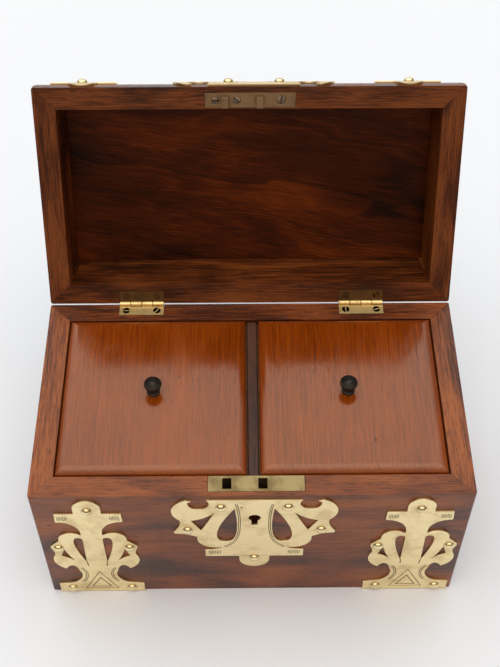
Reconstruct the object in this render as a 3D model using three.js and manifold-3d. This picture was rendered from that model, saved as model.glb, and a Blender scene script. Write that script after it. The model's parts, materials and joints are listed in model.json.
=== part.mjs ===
// Dome-top tea caddy with two lidded compartments, a side-sliding box lock and pierced brass mounts.
// Millimetres, +Z up. The front faces -Y. The origin is the middle of the underside.
// The lid is drawn shut and then turned about its hinge line, so it stands open at rest.

import * as THREE from 'three';
import { mergeVertices } from 'three/addons/utils/BufferGeometryUtils.js';
import Module from 'manifold-3d';

const wasm = await Module();
wasm.setup();

// ---------- driving dimensions ----------

const WIDTH = 230;
const DEPTH = 127.5;
const BODY_HEIGHT = 105;
const WALL = 12;
const CORNER_RADIUS = 1.2;
const OPEN_ANGLE = THREE.MathUtils.degToRad(113);

const SHUT_GAP = 0.3;
const JOINT_GAP = 0.1;
const FIT_GAP = 0.15;

const BAIZE = 1;
const BASE_BOARD = 9;
const DIVIDER_X = 0.8;
const DIVIDER = 5.8;
const DIVIDER_DROP = 1.8;

const LINING = 3;
const LINING_FLOOR = 2;
const FOIL = 0.4;

const TEA_LID_RISE = 2.5;
const TEA_LID_HEIGHT = 7;
const TEA_LID_EDGE = 3.2;
const TEA_LID_MARGIN = 5;
const TEA_LID_GAP = 0.6;
const PLUG_HEIGHT = 3;
const PLUG_GAP = 0.6;
const KNOB_X = [-53, 52.6];
const KNOB_Y = 0;
const KNOB_SPIGOT = 2;
const SPIGOT_LENGTH = 4.5;
const KNOB_SEGMENTS = 20;

const BAND = 4;
const BARREL_DROP = 7.2;
const CROWN = 10;
const RAIL_HEIGHT = 30;
const CEILING_DEPTH = 26;
const CEILING_X = 101.4;
const CEILING_Y = 48;
const CEILING_BOARD = 3.5;

const HINGE_X = [-62.5, 63.9];
const HINGE_WIDTH = 25.4;
const LEAF_DEPTH = 7.8;
const LEAF = 1.2;
const KNUCKLE = 1.7;
const KNUCKLE_GAP = 0.25;
const HINGE_PIN = 0.8;
const PIN_GAP = 0.12;
const HINGE_OFFSET = 0.3;
const HINGE_SCREW_X = 8.8;
const HINGE_SCREW_INSET = 4.5;
const HINGE_SCREW = 2.5;
const SCREW_LENGTH = 8;

const LOCK_X = 2.1;
const LOCK_WIDTH = 50;
const LOCK_DEPTH = 9.4;
const LOCK_PLATE = 1.5;
const CASE_WIDTH = 45;
const CASE_DEPTH = 8.8;
const CASE_DROP = 25;
const CASE_WALL = 1.2;
const CASE_GAP = 0.3;
const CASE_FOOT = 2;
const LOCK_SCREW_X = 23.1;
const LOCK_SCREW = 1.6;
const DRILL_PIN = 0.9;
const BOLT_TRAVEL = 5;
const STAPLE_X = [-13.1, 5.5];
const STAPLE_Y = -56.4;
const STAPLE_HALF = 1.8;
const STAPLE_DROP = 5.4;
const STAPLE_EYE = [4.3, 2.1];
const HOOK_GAP = 0.8;
const SLOT_X = 4.6;
const SLOT_Y = 6.2;

const LINK_X = 0.4;
const LINK_Y = -56.5;
const LINK_WIDTH = 48;
const LINK_DEPTH = 8;
const LINK_PLATE = 1.4;
const LINK_SCREWS = [[-18.2, 2.1], [-6.7, 2.1], [16.8, 2.6]];

const PLATE = 1.1;
const STUD_RADIUS = 2.85;
const STUD_HEIGHT = 1.9;
const CENTRE_MOUNT_X = 1.2;
const SIDE_MOUNT_X = [-86, 88];
const LID_CENTRE_MOUNT_X = 2.4;
const LID_SIDE_MOUNT_X = [-89, 85.2];
const KEYHOLE_Z = 83.9;
const BODY_MOUNT_TOP = 3.2;
const LID_MOUNT_EDGE = 1.5;
const LID_SIDE_MOUNT_SCALE = 0.82;

// ---------- sizes worked out from them ----------

const HALF_W = WIDTH / 2;
const HALF_D = DEPTH / 2;
const INNER_X = HALF_W - WALL;
const INNER_Y = HALF_D - WALL;
const RIM = BODY_HEIGHT + SHUT_GAP;
const AXIS_Y = HALF_D + HINGE_OFFSET;
const AXIS_Z = BODY_HEIGHT + SHUT_GAP / 2;
const BARREL_Z = RIM - BARREL_DROP;
const BARREL = Math.hypot(HALF_D, BAND + BARREL_DROP);
const BARREL_START = Math.asin((BAND + BARREL_DROP) / BARREL);
const FLOOR_Z = BAIZE + BASE_BOARD;
const TEA_LID_TOP = BODY_HEIGHT + TEA_LID_RISE;
const TEA_LID_BASE = TEA_LID_TOP - TEA_LID_HEIGHT;
const LEDGE_Z = TEA_LID_BASE - JOINT_GAP;
const BEYOND = 20;
const FAR = 200;

// ---------- solids: building, joining and cutting ----------

// Turns a closed geometry into a solid whose faces point out.
function solid(geometry) {
  const bare = new THREE.BufferGeometry();
  bare.setAttribute('position', geometry.getAttribute('position'));
  if (geometry.index) {
    bare.setIndex(geometry.index);
  }
  const merged = mergeVertices(bare, 1e-4);
  const vertProperties = new Float32Array(merged.getAttribute('position').array);
  const triVerts = new Uint32Array(merged.index.array);
  if (signedVolume(vertProperties, triVerts) < 0) {
    for (let i = 0; i < triVerts.length; i += 3) {
      [triVerts[i + 1], triVerts[i + 2]] = [triVerts[i + 2], triVerts[i + 1]];
    }
  }
  return new wasm.Manifold(new wasm.Mesh({ numProp: 3, vertProperties, triVerts }));
}

function signedVolume(positions, indices) {
  const corner = (i) => new THREE.Vector3().fromArray(positions, 3 * indices[i]);
  let sum = 0;
  for (let i = 0; i < indices.length; i += 3) {
    sum += corner(i).dot(corner(i + 1).cross(corner(i + 2)));
  }
  return sum / 6;
}

function geometryOf(shape) {
  const { vertProperties, triVerts, numProp } = shape.getMesh();
  const geometry = new THREE.BufferGeometry();
  const positions = new Float32Array((vertProperties.length / numProp) * 3);
  for (let i = 0; i < positions.length / 3; i += 1) {
    positions.set(vertProperties.subarray(i * numProp, i * numProp + 3), 3 * i);
  }
  geometry.setAttribute('position', new THREE.BufferAttribute(positions, 3));
  geometry.setIndex(new THREE.BufferAttribute(new Uint32Array(triVerts), 1));
  geometry.computeVertexNormals();
  return geometry;
}

function join(...shapes) {
  return shapes.reduce((sum, shape) => sum.add(shape));
}

function cut(shape, ...cutters) {
  return cutters.reduce((rest, cutter) => rest.subtract(cutter), shape);
}

function box([x0, x1], [y0, y1], [z0, z1]) {
  const geometry = new THREE.BoxGeometry(x1 - x0, y1 - y0, z1 - z0);
  return solid(geometry.translate((x0 + x1) / 2, (y0 + y1) / 2, (z0 + z1) / 2));
}

function shapeOf(points) {
  return new THREE.Shape(points.map(([a, b]) => new THREE.Vector2(a, b)));
}

function extrude(shape, depth, curveSegments = 4) {
  return new THREE.ExtrudeGeometry(shape, { depth, bevelEnabled: false, curveSegments });
}

// A plan outline in x and y, raised from z0 to z1.
function prismZ(points, z0, z1) {
  return solid(extrude(shapeOf(points), z1 - z0).translate(0, 0, z0));
}

// An outline in x and z, running from y0 back to y1.
function prismY(points, y0, y1) {
  return solid(extrude(shapeOf(points), y1 - y0).rotateX(Math.PI / 2).translate(0, y1, 0));
}

function cylinderX(radius, [x0, x1], y, z, segments) {
  const geometry = new THREE.CylinderGeometry(radius, radius, x1 - x0, segments);
  return solid(geometry.rotateZ(Math.PI / 2).translate((x0 + x1) / 2, y, z));
}

function cylinderY(radius, x, [y0, y1], z, segments) {
  const geometry = new THREE.CylinderGeometry(radius, radius, y1 - y0, segments);
  return solid(geometry.translate(x, (y0 + y1) / 2, z));
}

// A turned shape: the profile is radius and height, starting and ending on the axis.
function turned(profile, segments) {
  const geometry = new THREE.LatheGeometry(profile.map(([r, h]) => new THREE.Vector2(r, h)), segments);
  return geometry.rotateX(Math.PI / 2);
}

// A convex solid through rings that have the same number of points, with flat ends.
function loft(rings) {
  const count = rings[0].length;
  const last = (rings.length - 1) * count;
  const faces = [];
  for (let r = 0; r < rings.length - 1; r += 1) {
    for (let i = 0; i < count; i += 1) {
      const a = r * count + i;
      const b = r * count + ((i + 1) % count);
      faces.push(a, b, b + count, a, b + count, a + count);
    }
  }
  for (let i = 1; i < count - 1; i += 1) {
    faces.push(0, i + 1, i, last, last + i, last + i + 1);
  }
  const geometry = new THREE.BufferGeometry();
  geometry.setAttribute('position', new THREE.Float32BufferAttribute(rings.flat(2), 3));
  geometry.setIndex(faces);
  return solid(geometry);
}

function rectangle(x0, x1, y0, y1, z) {
  return [[x0, y0, z], [x1, y0, z], [x1, y1, z], [x0, y1, z]];
}

// A countersunk wood screw, head up, with the top of its head at the origin. grow leaves room round it.
function screw(headRadius, length, headDepth, grow = 0) {
  const shank = 1 + grow;
  const tip = 1.5;
  return turned([
    [0, grow],
    [headRadius + grow, grow],
    [headRadius + grow, 0],
    [shank, -headDepth - grow],
    [shank, -length + tip],
    [0, -length - grow],
  ], 10);
}

// ---------- materials ----------

function finish(colour, roughness, metalness = 0) {
  return () => new THREE.MeshStandardMaterial({ color: colour, roughness, metalness });
}

const walnut = finish('#6b3d2e', 0.35);
const walnutInside = finish('#53260f', 0.35);
const mahogany = finish('#b06a42', 0.3);
const plainWood = finish('#8a5a3a', 0.7);
const baizeCloth = finish('#1f4a33', 0.95);
const leadFoil = finish('#8f9294', 0.5, 0.8);
const ebony = finish('#15120f', 0.3);
const polishedBrass = finish('#d8bf84', 0.25, 1);
const dullBrass = finish('#a8905a', 0.45, 1);
const steel = finish('#77746f', 0.45, 1);

const caddy = new THREE.Group();
const lid = new THREE.Group();
lid.position.set(0, AXIS_Y, AXIS_Z);
lid.rotation.x = -OPEN_ANGLE;
caddy.add(lid);

function addTo(group, name, shape, material) {
  const mesh = new THREE.Mesh(geometryOf(shape), material());
  mesh.name = name;
  group.add(mesh);
}

function addBody(name, shape, material) {
  addTo(caddy, name, shape, material);
}

// Lid pieces are drawn shut, then measured from the hinge line.
function addLid(name, shape, material) {
  addTo(lid, name, shape.translate([0, -AXIS_Y, -AXIS_Z]), material);
}

// ---------- body: four mitred walls, base and divider ----------

// Plan outline of a mitred wall on the -Y side of a frame, with half of each rounded corner.
function mitredWall(halfWidth, halfDepth) {
  const outline = [];
  const steps = 3;
  for (let i = 0; i <= steps; i += 1) {
    const angle = (Math.PI / 4) * (1 - i / steps) - Math.PI / 2;
    const x = halfWidth - CORNER_RADIUS + CORNER_RADIUS * Math.cos(angle);
    const y = -halfDepth + CORNER_RADIUS + CORNER_RADIUS * Math.sin(angle);
    outline.push([x - JOINT_GAP / 2, y]);
  }
  outline.push(...outline.map(([x, y]) => [-x, y]).reverse());
  outline.push([-halfWidth + WALL + JOINT_GAP / 2, -halfDepth + WALL]);
  outline.push([halfWidth - WALL - JOINT_GAP / 2, -halfDepth + WALL]);
  return outline;
}

function keyholeOutline(x, z, grow = 0) {
  const radius = 3.2 + grow;
  const slot = 1.65 + grow;
  const foot = z - 7.5 - grow;
  const start = -Math.acos(slot / radius);
  const steps = 12;
  const points = [[x + slot, foot]];
  for (let i = 0; i <= steps; i += 1) {
    const angle = start + ((Math.PI - 2 * start) * i) / steps;
    points.push([x + radius * Math.cos(angle), z + radius * Math.sin(angle)]);
  }
  points.push([x - slot, foot]);
  return points;
}

// The lock's face plate, or the room for it; past is how far it runs on beyond the wall's inner face.
function lockPlateBox(grow, past, z) {
  const x = [LOCK_X - LOCK_WIDTH / 2 - grow, LOCK_X + LOCK_WIDTH / 2 + grow];
  return box(x, [-INNER_Y - LOCK_DEPTH - grow, -INNER_Y + past], z);
}

function frontWall() {
  const board = prismZ(mitredWall(HALF_W, HALF_D), 0, BODY_HEIGHT);
  const caseX = CASE_WIDTH / 2 + CASE_GAP;
  const pocket = box(
    [LOCK_X - caseX, LOCK_X + caseX],
    [-INNER_Y - JOINT_GAP - CASE_DEPTH - CASE_GAP, -INNER_Y + 1],
    [BODY_HEIGHT - CASE_DROP - CASE_GAP, BODY_HEIGHT + 1],
  );
  const plateRecess = lockPlateBox(FIT_GAP, 1, [BODY_HEIGHT - LOCK_PLATE - JOINT_GAP, BODY_HEIGHT + 1]);
  const backRecess = box(
    [LOCK_X - LOCK_WIDTH / 2 - FIT_GAP, LOCK_X + LOCK_WIDTH / 2 + FIT_GAP],
    [-INNER_Y - JOINT_GAP - CASE_WALL - FIT_GAP, -INNER_Y + 1],
    [BODY_HEIGHT - CASE_DROP - CASE_FOOT - FIT_GAP, BODY_HEIGHT + 1],
  );
  const keyholeShape = keyholeOutline(CENTRE_MOUNT_X, KEYHOLE_Z, FIT_GAP);
  const keyhole = prismY(keyholeShape, -HALF_D - 1, -INNER_Y - CASE_DEPTH / 2);
  const holes = lockScrewPlaces().map((place) => lockScrew(place, FIT_GAP));
  addBody('front_wall', cut(board, pocket, plateRecess, backRecess, keyhole, ...holes), walnut);
}

function knuckleCylinder(x, radius, [from, to]) {
  const segments = 14;
  return cylinderX(radius, [x + from, x + to], AXIS_Y, AXIS_Z, segments);
}

// Room for one hinge in a wall whose rim is at zRim; the leaf lies on the side that up says.
function hingeRecess(x, zRim, up) {
  const half = HINGE_WIDTH / 2 + FIT_GAP;
  const deep = zRim + up * (LEAF + JOINT_GAP);
  const clear = zRim - up;
  const leaf = box(
    [x - half, x + half],
    [HALF_D - LEAF_DEPTH - FIT_GAP, HALF_D + BEYOND],
    [Math.min(deep, clear), Math.max(deep, clear)],
  );
  return join(leaf, knuckleCylinder(x, KNUCKLE + KNUCKLE_GAP, [-half, half]));
}

function hingeScrew(x, side, up, grow = 0) {
  const geometry = screw(HINGE_SCREW, SCREW_LENGTH, LEAF, grow);
  if (up > 0) {
    geometry.rotateX(Math.PI);
  }
  const z = up > 0 ? RIM : BODY_HEIGHT;
  return solid(geometry.translate(x + side * HINGE_SCREW_X, HALF_D - HINGE_SCREW_INSET, z));
}

function backWall() {
  const turn = mitredWall(HALF_W, HALF_D).map(([x, y]) => [-x, -y]);
  const board = prismZ(turn, 0, BODY_HEIGHT);
  const cuts = HINGE_X.flatMap((x) => [
    hingeRecess(x, BODY_HEIGHT, -1),
    hingeScrew(x, -1, -1, FIT_GAP),
    hingeScrew(x, 1, -1, FIT_GAP),
  ]);
  addBody('back_wall', cut(board, ...cuts), walnut);
}

function sideWalls() {
  for (const [name, side] of [['left_wall', -1], ['right_wall', 1]]) {
    const outline = mitredWall(HALF_D, HALF_W).map(([x, y]) => [-side * y, side * x]);
    addBody(name, prismZ(outline, 0, BODY_HEIGHT), walnut);
  }
}

function baseAndDivider() {
  const x = [-INNER_X, INNER_X];
  const y = [-INNER_Y, INNER_Y];
  addBody('base_board', box(x, y, [BAIZE, FLOOR_Z]), plainWood);
  addBody('base_baize', box(x, y, [0, BAIZE]), baizeCloth);
  const top = BODY_HEIGHT - DIVIDER_DROP;
  const thick = [DIVIDER_X - DIVIDER / 2, DIVIDER_X + DIVIDER / 2];
  addBody('divider', box(thick, y, [FLOOR_Z, top]), walnut);
}

// ---------- tea compartments: linings, foils and lift-out lids ----------

function boxTray(x, y, [z0, z1], wall, floor) {
  const inside = box([x[0] + wall, x[1] - wall], [y[0] + wall, y[1] - wall], [z0 + floor, z1 + 1]);
  return cut(box(x, y, [z0, z1]), inside);
}

// The turned knob stands on the lid and its spigot goes down into it.
function knob(x) {
  const shape = turned([
    [0, -SPIGOT_LENGTH],
    [KNOB_SPIGOT, -SPIGOT_LENGTH],
    [KNOB_SPIGOT, 0],
    [3.65, 0],
    [3.6, 0.9],
    [2.5, 2.6],
    [2.3, 4.2],
    [3.1, 5.5],
    [4.7, 6.3],
    [4.8, 7.4],
    [4.1, 8.3],
    [2.6, 8.4],
    [0, 8.7],
  ], KNOB_SEGMENTS);
  return solid(shape.translate(x, KNOB_Y, TEA_LID_TOP));
}

// A flat panel whose top edge is rounded down to a thin lip.
function teaLidPanel([x0, x1], [y0, y1]) {
  const rings = [rectangle(x0, x1, y0, y1, TEA_LID_BASE)];
  const steps = 4;
  for (let i = 0; i <= steps; i += 1) {
    const angle = (Math.PI / 2) * (i / steps);
    const inset = TEA_LID_MARGIN * (1 - Math.cos(angle));
    const rise = TEA_LID_EDGE + (TEA_LID_HEIGHT - TEA_LID_EDGE) * Math.sin(angle);
    rings.push(rectangle(x0 + inset, x1 - inset, y0 + inset, y1 - inset, TEA_LID_BASE + rise));
  }
  return loft(rings);
}

function compartment(name, x0, x1, knobX) {
  const y = [-INNER_Y + JOINT_GAP, INNER_Y - JOINT_GAP];
  const x = [x0 + JOINT_GAP, x1 - JOINT_GAP];
  const inset = (pair, by) => [pair[0] + by, pair[1] - by];
  addBody(`${name}_lining`, boxTray(x, y, [FLOOR_Z, LEDGE_Z], LINING, LINING_FLOOR), plainWood);
  const foilX = inset(x, LINING);
  const foilY = inset(y, LINING);
  const foilZ = [FLOOR_Z + LINING_FLOOR, LEDGE_Z];
  addBody(`${name}_foil`, boxTray(foilX, foilY, foilZ, FOIL, FOIL), leadFoil);

  const panel = teaLidPanel(inset(x, TEA_LID_GAP), inset(y, TEA_LID_GAP));
  const holeRadius = KNOB_SPIGOT + FIT_GAP;
  const holeEnd = -SPIGOT_LENGTH - 0.5;
  const spigotHole = turned([[0, holeEnd], [holeRadius, holeEnd], [holeRadius, 1], [0, 1]], KNOB_SEGMENTS);
  const hole = solid(spigotHole.translate(knobX, KNOB_Y, TEA_LID_TOP));
  addBody(`${name}_tea_lid`, cut(panel, hole), mahogany);
  const plugX = inset(foilX, FOIL + PLUG_GAP);
  const plugY = inset(foilY, FOIL + PLUG_GAP);
  const plug = box(plugX, plugY, [TEA_LID_BASE - PLUG_HEIGHT, TEA_LID_BASE]);
  addBody(`${name}_tea_lid_plug`, plug, plainWood);
  addBody(`${name}_knob`, knob(knobX), ebony);
}

// ---------- lid: mitred frame under a barrel crown ----------

// Outline of the lid's end in y and z, drawn in by inset all round except at the rim.
function barrelProfile(inset) {
  const radius = BARREL - inset;
  const side = HALF_D - inset;
  const start = Math.acos(side / radius);
  const steps = 24;
  const points = [[side, RIM]];
  for (let i = 0; i <= steps; i += 1) {
    const angle = start + ((Math.PI - 2 * start) * i) / steps;
    points.push([radius * Math.cos(angle), BARREL_Z + radius * Math.sin(angle)]);
  }
  points.push([-side, RIM]);
  return points;
}

// The lid's whole outside; its end arrises are rounded.
function lidBlock() {
  const steps = 3;
  const edge = Array.from({ length: steps + 1 }, (_, i) => {
    const angle = (Math.PI / 2) * (1 - i / steps);
    return [HALF_W - CORNER_RADIUS * (1 - Math.sin(angle)), CORNER_RADIUS * (1 - Math.cos(angle))];
  });
  const ring = (x, inset) => barrelProfile(inset).map(([y, z]) => [x, y, z]);
  return loft([
    ...edge.map(([x, inset]) => ring(-x, inset)),
    ...edge.reverse().map(([x, inset]) => ring(x, inset)),
  ]);
}

function barrelCylinder(radius, halfLength) {
  const segments = 50;
  const points = Array.from({ length: segments }, (_, i) => {
    const angle = (2 * Math.PI * i) / segments;
    return [radius * Math.cos(angle), BARREL_Z + radius * Math.sin(angle)];
  });
  return loft([
    points.map(([y, z]) => [-halfLength, y, z]),
    points.map(([y, z]) => [halfLength, y, z]),
  ]);
}

// The wedge of plan between the two mitres of the front rail; side -1 is the front, 1 the back.
function mitreWedge(side, gap) {
  const reach = 8;
  const plan = [
    [-INNER_X - BEYOND + gap, side * (INNER_Y + BEYOND)],
    [INNER_X + BEYOND - gap, side * (INNER_Y + BEYOND)],
    [INNER_X - reach - gap, side * (INNER_Y - reach)],
    [-INNER_X + reach + gap, side * (INNER_Y - reach)],
  ];
  return prismZ(plan, RIM - 1, RIM + RAIL_HEIGHT - JOINT_GAP * Math.sign(gap));
}

function lidHollow() {
  const sliver = 0.001;
  return join(
    loft([
      rectangle(-INNER_X, INNER_X, -INNER_Y, INNER_Y, RIM - sliver),
      rectangle(-CEILING_X, CEILING_X, -CEILING_Y, CEILING_Y, RIM + CEILING_DEPTH),
    ]),
    box([-CEILING_X, CEILING_X], [-CEILING_Y, CEILING_Y], [RIM + CEILING_DEPTH - 1, FAR]),
  );
}

function linkPlateBox(grow, [z0, z1]) {
  const x = LINK_WIDTH / 2 + grow;
  const y = LINK_DEPTH / 2 + grow;
  return box([LINK_X - x, LINK_X + x], [LINK_Y - y, LINK_Y + y], [z0, z1]);
}

function linkScrew([x, radius], grow = 0) {
  const shape = screw(radius, SCREW_LENGTH, LINK_PLATE, grow).rotateX(Math.PI);
  return solid(shape.translate(x, STAPLE_Y, RIM));
}

function lidCase() {
  const frame = cut(lidBlock(), lidHollow());
  const above = box([-HALF_W - 1, HALF_W + 1], [-HALF_D - 1, HALF_D + 1], [RIM + RAIL_HEIGHT, FAR]);
  const frontCuts = [
    linkPlateBox(FIT_GAP, [RIM - 1, RIM + LINK_PLATE + JOINT_GAP]),
    ...LINK_SCREWS.map((place) => linkScrew(place, FIT_GAP)),
  ];
  const backCuts = HINGE_X.flatMap((x) => [
    hingeRecess(x, RIM, 1),
    hingeScrew(x, -1, 1, FIT_GAP),
    hingeScrew(x, 1, 1, FIT_GAP),
  ]);
  const frontRail = frame.intersect(mitreWedge(-1, JOINT_GAP));
  const backRail = frame.intersect(mitreWedge(1, JOINT_GAP));
  addLid('lid_front_rail', cut(frontRail, ...frontCuts), walnut);
  addLid('lid_back_rail', cut(backRail, ...backCuts), walnut);

  const underCrown = barrelCylinder(BARREL - CROWN - FIT_GAP, HALF_W + 1);
  const ends = cut(frame, mitreWedge(-1, -JOINT_GAP), mitreWedge(1, -JOINT_GAP), cut(above, underCrown));
  for (const [name, side] of [['lid_left_end', -1], ['lid_right_end', 1]]) {
    const reach = [side * FAR, side * (CEILING_X - BEYOND)].sort((a, b) => a - b);
    addLid(name, ends.intersect(box(reach, [-FAR, FAR], [0, FAR])), walnut);
  }
  const raised = above.translate([0, 0, JOINT_GAP]);
  const crown = cut(lidBlock().intersect(raised), barrelCylinder(BARREL - CROWN, HALF_W + 1));
  addLid('lid_crown', crown, walnut);
  const ceiling = box(
    [-CEILING_X + FIT_GAP, CEILING_X - FIT_GAP],
    [-CEILING_Y + FIT_GAP, CEILING_Y - FIT_GAP],
    [RIM + CEILING_DEPTH, RIM + CEILING_DEPTH + CEILING_BOARD],
  );
  addLid('lid_ceiling', ceiling, walnutInside);
}

// ---------- hinges ----------

// One leaf with every second knuckle; up is -1 for the leaf in the wall, 1 for the leaf in the lid.
function hingeLeaf(x, up) {
  const half = HINGE_WIDTH / 2;
  const zRim = up > 0 ? RIM : BODY_HEIGHT;
  const zDeep = zRim + up * LEAF;
  const plate = box(
    [x - half, x + half],
    [HALF_D - LEAF_DEPTH, AXIS_Y],
    [Math.min(zRim, zDeep), Math.max(zRim, zDeep)],
  );
  const count = 4;
  const pitch = HINGE_WIDTH / count;
  let leaf = plate;
  const rooms = [];
  for (let i = 0; i < count; i += 1) {
    const from = -half + i * pitch;
    const mine = (i % 2 === 0) === (up < 0);
    if (mine) {
      const ends = [from + (i > 0 ? JOINT_GAP : 0), from + pitch - (i < count - 1 ? JOINT_GAP : 0)];
      leaf = leaf.add(knuckleCylinder(x, KNUCKLE, ends));
    } else {
      const ends = [from - (i > 0 ? JOINT_GAP : 1), from + pitch + (i < count - 1 ? JOINT_GAP : 1)];
      rooms.push(knuckleCylinder(x, KNUCKLE + KNUCKLE_GAP, ends));
    }
  }
  const pinHole = knuckleCylinder(x, HINGE_PIN + PIN_GAP, [-half - 1, half + 1]);
  return cut(leaf, ...rooms, pinHole, hingeScrew(x, -1, up, JOINT_GAP), hingeScrew(x, 1, up, JOINT_GAP));
}

function hinges() {
  HINGE_X.forEach((x, index) => {
    const name = index === 0 ? 'left' : 'right';
    const half = HINGE_WIDTH / 2;
    addBody(`${name}_hinge_lower_leaf`, hingeLeaf(x, -1), dullBrass);
    addBody(`${name}_hinge_pin`, knuckleCylinder(x, HINGE_PIN, [-half, half]), steel);
    addLid(`${name}_hinge_upper_leaf`, hingeLeaf(x, 1), dullBrass);
    for (const [end, side] of [['outer', Math.sign(x)], ['inner', -Math.sign(x)]]) {
      addBody(`${name}_hinge_lower_screw_${end}`, hingeScrew(x, side, -1), dullBrass);
      addLid(`${name}_hinge_upper_screw_${end}`, hingeScrew(x, side, 1), dullBrass);
    }
  });
}

// ---------- lock and link plate ----------

function lockScrewPlaces() {
  const z = BODY_HEIGHT - 14;
  return [[LOCK_X - LOCK_SCREW_X, z], [LOCK_X + LOCK_SCREW_X, z]];
}

function lockScrew([x, z], grow = 0) {
  const shape = screw(LOCK_SCREW, SCREW_LENGTH, CASE_WALL, grow).rotateX(-Math.PI / 2);
  return solid(shape.translate(x, -INNER_Y - JOINT_GAP, z));
}

function lockCase() {
  const back = -INNER_Y - JOINT_GAP;
  const top = BODY_HEIGHT - LOCK_PLATE - JOINT_GAP;
  const half = CASE_WIDTH / 2;
  const foot = BODY_HEIGHT - CASE_DROP;
  const shell = box([LOCK_X - half, LOCK_X + half], [back - CASE_DEPTH, back], [foot, top]);
  const backPlate = box(
    [LOCK_X - LOCK_WIDTH / 2, LOCK_X + LOCK_WIDTH / 2],
    [back - CASE_WALL, back],
    [foot - CASE_FOOT, top],
  );
  const inside = box(
    [LOCK_X - half + CASE_WALL, LOCK_X + half - CASE_WALL],
    [back - CASE_DEPTH + CASE_WALL, back - CASE_WALL],
    [foot + CASE_WALL, top + 1],
  );
  const keyhole = prismY(keyholeOutline(CENTRE_MOUNT_X, KEYHOLE_Z), back - CASE_DEPTH - 1, back - CASE_WALL);
  const pinHole = cylinderY(DRILL_PIN + JOINT_GAP, CENTRE_MOUNT_X, [back - 2, back + 1], KEYHOLE_Z, 10);
  const screwHoles = lockScrewPlaces().map((place) => lockScrew(place, JOINT_GAP));
  return cut(join(shell, backPlate), inside, keyhole, pinHole, ...screwHoles);
}

// Sliding bolt, drawn back: a bar with two hooked fingers for the staples, and a talon for the key.
function lockBolt() {
  const y = [STAPLE_Y - 1, STAPLE_Y + 1];
  const below = (low, high) => [BODY_HEIGHT - low, BODY_HEIGHT - high];
  const barLow = 12;
  const fingerTop = 2.5;
  const hookLow = 3.9;
  const postWidth = 2.4;
  const bar = box([-6.1, 17], y, below(barLow, 9.4));
  const fingers = STAPLE_X.flatMap((x) => {
    const post = x + STAPLE_HALF + FIT_GAP + BOLT_TRAVEL;
    return [
      box([post, post + postWidth], y, below(barLow, fingerTop)),
      box([x + STAPLE_HALF + HOOK_GAP, post + postWidth], y, below(hookLow, fingerTop)),
    ];
  });
  const talon = box([-1.8, 8.2], y, below(15.5, 11));
  const notch = box([1.6, 4.8], [y[0] - 1, y[1] + 1], below(17, 13));
  return cut(join(bar, talon, ...fingers), notch);
}

// A bowed strip under the bolt's bar.
function boltSpring() {
  const x = [10.2, 21];
  const top = BODY_HEIGHT - 12.4;
  const bow = 2.6;
  const strip = 0.4;
  const half = 1.2;
  const steps = 8;
  const arch = (raise) => Array.from({ length: steps + 1 }, (_, i) => {
    const t = i / steps;
    return [x[0] + (x[1] - x[0]) * t, top - bow * (1 - 2 * t) ** 2 - strip + raise];
  });
  return prismY([...arch(0), ...arch(strip).reverse()], STAPLE_Y - half, STAPLE_Y + half);
}

function lock() {
  const slots = STAPLE_X.map((x) => box(
    [x - SLOT_X / 2, x + SLOT_X / 2],
    [STAPLE_Y - SLOT_Y / 2, STAPLE_Y + SLOT_Y / 2],
    [BODY_HEIGHT - LOCK_PLATE - 1, BODY_HEIGHT + 1],
  ));
  const plate = lockPlateBox(0, 0, [BODY_HEIGHT - LOCK_PLATE, BODY_HEIGHT]);
  addBody('lock_face_plate', cut(plate, ...slots), polishedBrass);
  addBody('lock_case', lockCase(), dullBrass);
  addBody('lock_bolt', lockBolt(), steel);
  addBody('lock_bolt_spring', boltSpring(), steel);
  const pinY = [-INNER_Y - CASE_DEPTH, -INNER_Y - 2 * JOINT_GAP];
  addBody('lock_drill_pin', cylinderY(DRILL_PIN, CENTRE_MOUNT_X, pinY, KEYHOLE_Z, 10), steel);
  lockScrewPlaces().forEach((place, index) => {
    addBody(index === 0 ? 'lock_screw_left' : 'lock_screw_right', lockScrew(place), dullBrass);
  });
}

function linkPlate() {
  const plate = linkPlateBox(0, [RIM, RIM + LINK_PLATE]);
  const round = (y, half) => [y - half, y + half];
  const staples = STAPLE_X.map((x) => cut(
    box(round(x, STAPLE_HALF), round(STAPLE_Y, 2.6), [BODY_HEIGHT - STAPLE_DROP, RIM + LINK_PLATE / 2]),
    box(round(x, STAPLE_HALF + 1), round(STAPLE_Y, 1.5), STAPLE_EYE.map((drop) => BODY_HEIGHT - drop)),
  ));
  const holes = LINK_SCREWS.map((place) => linkScrew(place, JOINT_GAP));
  addLid('link_plate', cut(join(plate, ...staples), ...holes), dullBrass);
  LINK_SCREWS.forEach((place, index) => {
    addLid(`link_plate_screw_${index + 1}`, linkScrew(place), dullBrass);
  });
}

// ---------- pierced brass mounts ----------

// Mount outlines are drawn in u, across from the middle line, and v, away from the rim-side edge.
const rad = THREE.MathUtils.degToRad;

function centreMountHalf() {
  const path = new THREE.Path();
  path.moveTo(0, 0);
  path.lineTo(24.8, 0);
  path.absarc(29.2, 3.3, 5.5, rad(217), rad(-14), true);
  path.lineTo(32.8, 0.9);
  path.absarc(31.5, 11, 12, rad(-68), rad(48), false);
  path.quadraticCurveTo(38.4, 25, 43.1, 32.3);
  path.lineTo(42.7, 34);
  path.quadraticCurveTo(36, 34.4, 30.6, 38);
  path.absarc(20.8, 40, 10, rad(-11), rad(112), false);
  path.quadraticCurveTo(20, 52.4, 26.8, 52.5);
  path.lineTo(26.8, 59.8);
  path.lineTo(8.3, 59.8);
  path.absarc(0, 63.6, 8.3, 0, rad(90), false);
  return path;
}

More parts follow.
